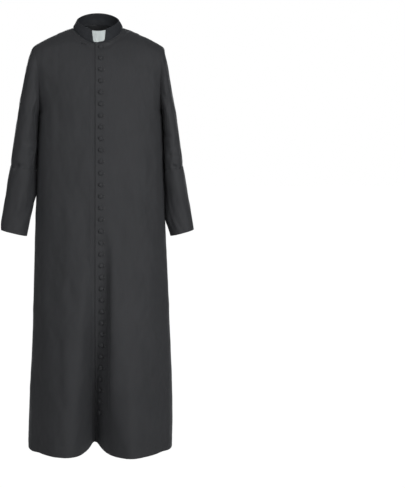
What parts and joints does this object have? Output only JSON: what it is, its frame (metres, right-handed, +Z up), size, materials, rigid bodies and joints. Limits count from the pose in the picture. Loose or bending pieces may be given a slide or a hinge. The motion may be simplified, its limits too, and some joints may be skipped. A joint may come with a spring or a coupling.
{
  "type": "cassock",
  "caption": "Full-length black cassock in worn form, with a stand collar and white tab, a buttoned centre front, set-in sleeves and deep turned-back cuffs; hollow and open.",
  "frame": {"origin": "where the wearer's shoulders carry the garment: between the shoulders at side-neck height, on the line of the shoulder seams and of centre front", "axes": "+Z up, the front faces -Y, the wearer's left is +X"},
  "size_m": [0.6609, 0.3647, 1.4969],
  "materials": {
    "cloth": "matt black woven suiting with a faint sheen",
    "covered_button": "the same cloth stretched over a domed button",
    "collar_tab": "satin white plastic"
  },
  "bodies": {
    "root": {"front_left": "cloth", "front_right": "cloth", "back_left": "cloth", "back_right": "cloth", "sleeve_left": "cloth", "sleeve_right": "cloth", "cuff_left": "cloth", "cuff_right": "cloth", "collar": "cloth", "collar_tab": "collar_tab", "button_01": "covered_button", "button_02": "covered_button", "button_03": "covered_button", "button_04": "covered_button", "button_05": "covered_button", "button_06": "covered_button", "button_07": "covered_button", "button_08": "covered_button", "button_09": "covered_button", "button_10": "covered_button", "button_11": "covered_button", "button_12": "covered_button", "button_13": "covered_button", "button_14": "covered_button", "button_15": "covered_button", "button_16": "covered_button", "button_17": "covered_button", "button_18": "covered_button", "button_19": "covered_button", "button_20": "covered_button", "button_21": "covered_button", "button_22": "covered_button", "button_23": "covered_button", "button_24": "covered_button", "button_25": "covered_button", "button_26": "covered_button", "button_27": "covered_button", "button_28": "covered_button", "button_29": "covered_button", "button_30": "covered_button", "button_31": "covered_button", "button_32": "covered_button", "button_33": "covered_button"}
  },
  "joints": []
}
